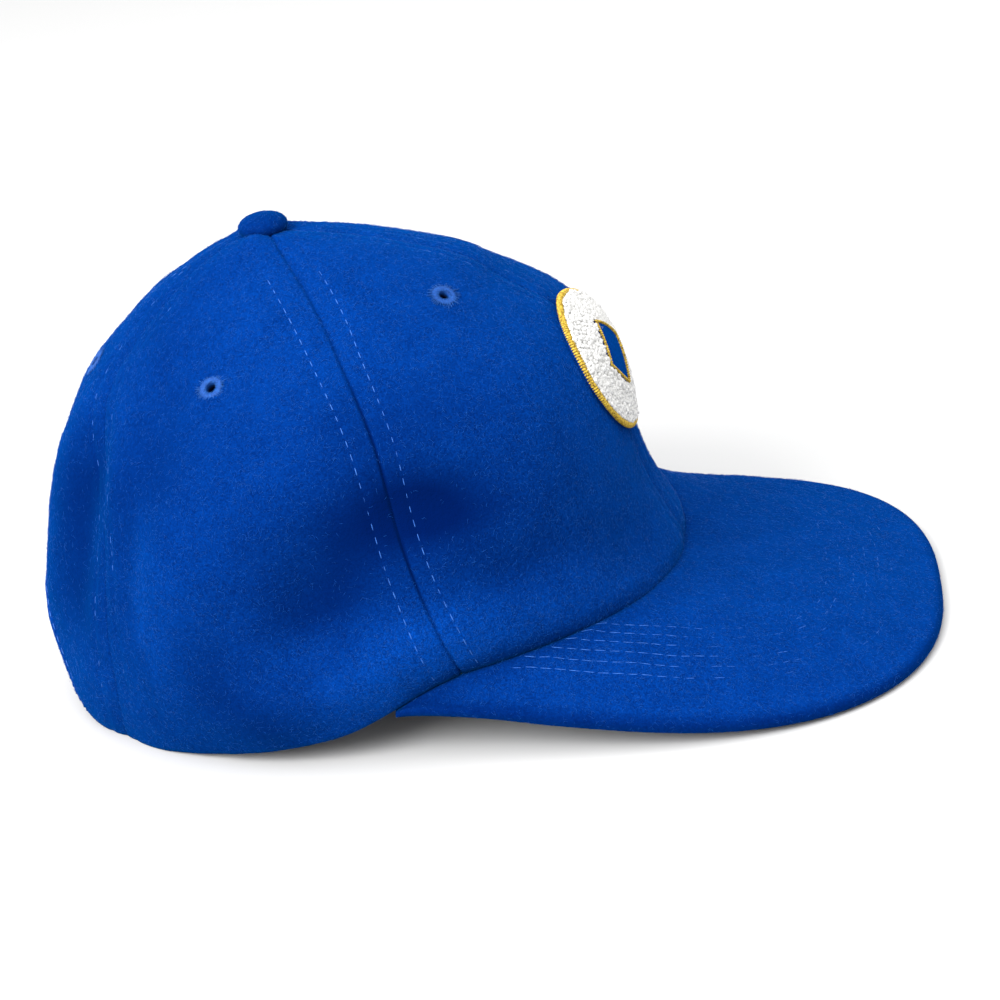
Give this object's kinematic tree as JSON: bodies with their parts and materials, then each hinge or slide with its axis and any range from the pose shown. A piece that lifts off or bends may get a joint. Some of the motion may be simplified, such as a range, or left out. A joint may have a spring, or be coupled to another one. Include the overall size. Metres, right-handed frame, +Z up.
{
  "type": "snapback cap",
  "caption": "Wool-felt snapback cap with a flat peak, a covered button, stitched eyelets, a plain strap across its rear opening and a plain raised pile patch on the front.",
  "frame": {"origin": "on the surface that the cap lies on, under the middle of its bounding box", "axes": "+X towards the wearer's front, where the peak points, +Y towards the wearer's left, +Z up"},
  "size_m": [0.2711, 0.1674, 0.1375],
  "materials": {
    "felt": "matte brushed wool felt",
    "thread": "satin embroidery thread",
    "sweatband_cloth": "matte woven cotton",
    "strap_plastic": "satin moulded plastic",
    "pile": "looped pile yarn",
    "satin": "satin stitched border"
  },
  "bodies": {
    "root": {"panel_front_right": "felt", "panel_side_right": "felt", "panel_rear_right": "felt", "panel_front_left": "felt", "panel_side_left": "felt", "panel_rear_left": "felt", "top_button": "felt", "peak": "felt", "eyelet_front_right": "thread", "eyelet_side_right": "thread", "eyelet_rear_right": "thread", "eyelet_front_left": "thread", "eyelet_side_left": "thread", "eyelet_rear_left": "thread", "sweatband": "sweatband_cloth", "snap_strap": "strap_plastic", "emblem_edge": "satin", "emblem_pile": "pile"}
  },
  "joints": []
}
